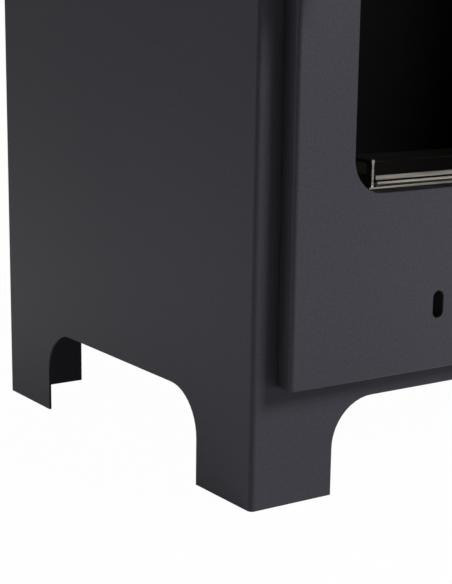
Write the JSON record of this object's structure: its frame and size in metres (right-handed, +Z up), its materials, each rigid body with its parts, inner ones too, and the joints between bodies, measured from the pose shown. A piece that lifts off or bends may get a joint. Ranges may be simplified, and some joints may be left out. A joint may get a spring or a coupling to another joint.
{
  "type": "bioethanol fireplace",
  "caption": "Freestanding bioethanol fireplace: folded sheet-steel cabinet on arched legs, windowed hinged door with air slots, and a lift-out stainless burner with a sliding lid.",
  "frame": {"origin": "floor level, under the centre of the overall box with the handle and the back screws", "axes": "+X to the right seen from the front, -Y towards the viewer, +Z up"},
  "size_m": [0.5, 0.3402, 0.6],
  "materials": {
    "powder_coat": "charcoal fine-texture powder coat",
    "lining_paint": "matt black heat-resistant paint",
    "stainless": "brushed stainless steel",
    "zinc_plate": "zinc-plated steel",
    "black_screw": "black-finished steel",
    "bronze": "plain sintered bronze",
    "fibre_wool": "white ceramic fibre",
    "fibre_gasket": "grey pressed fibre",
    "bumper_rubber": "black silicone rubber",
    "catch_plastic": "black moulded plastic",
    "ferrite": "dark grey ferrite magnet"
  },
  "bodies": {
    "body": {"body_shell": "powder_coat", "back_panel": "powder_coat", "base_plate": "powder_coat", "rear_rail_left": "powder_coat", "rear_rail_right": "powder_coat", "top_plate": "powder_coat", "hinge_bracket_lower": "powder_coat", "hinge_bracket_upper": "powder_coat", "firebox_wrap": "lining_paint", "firebox_floor": "lining_paint", "firebox_roof": "lining_paint", "lining_rivets": "lining_paint", "firebox_screws": "lining_paint", "cradle_frame": "stainless", "cradle_end_left": "stainless", "cradle_end_right": "stainless", "top_plate_studs": "zinc_plate", "top_plate_nuts": "zinc_plate", "firebox_nuts": "zinc_plate", "shield_screws": "zinc_plate", "shield_nuts": "zinc_plate", "shield_posts": "zinc_plate", "cradle_screws": "zinc_plate", "cradle_nuts": "zinc_plate", "hinge_pin_lower": "zinc_plate", "hinge_pin_upper": "zinc_plate", "catch_screws": "zinc_plate", "heat_shield": "zinc_plate", "back_panel_screws": "black_screw", "hinge_screws": "black_screw", "burner_gasket": "fibre_gasket", "door_bumpers": "bumper_rubber", "catch_housing": "catch_plastic", "catch_magnet": "ferrite"},
    "door": {"door_panel": "powder_coat", "door_stiffener": "powder_coat", "strike_plate": "zinc_plate", "hinge_bush_lower": "bronze", "hinge_bush_upper": "bronze", "handle_grip": "stainless", "handle_posts": "stainless", "handle_screws": "zinc_plate"},
    "burner": {"burner_tank": "stainless", "burner_wool": "fibre_wool", "wool_retainer": "stainless"},
    "lid": {"burner_lid": "stainless", "lid_runners": "stainless", "lid_tongues": "stainless"}
  },
  "joints": [
    {"name": "door_hinge", "type": "hinge", "parent": "body", "child": "door", "pos_m": [0.2282, -0.1291, 0.3261], "axis": [0, 0, 1], "range_deg": [0, 100]},
    {"name": "burner_lift", "type": "slide", "parent": "body", "child": "burner", "axis": [0, 0, 1], "range_m": [0, 0.15]},
    {"name": "lid_slide", "type": "slide", "parent": "burner", "child": "lid", "axis": [0, 1, 0], "range_m": [0, 0.034]}
  ]
}
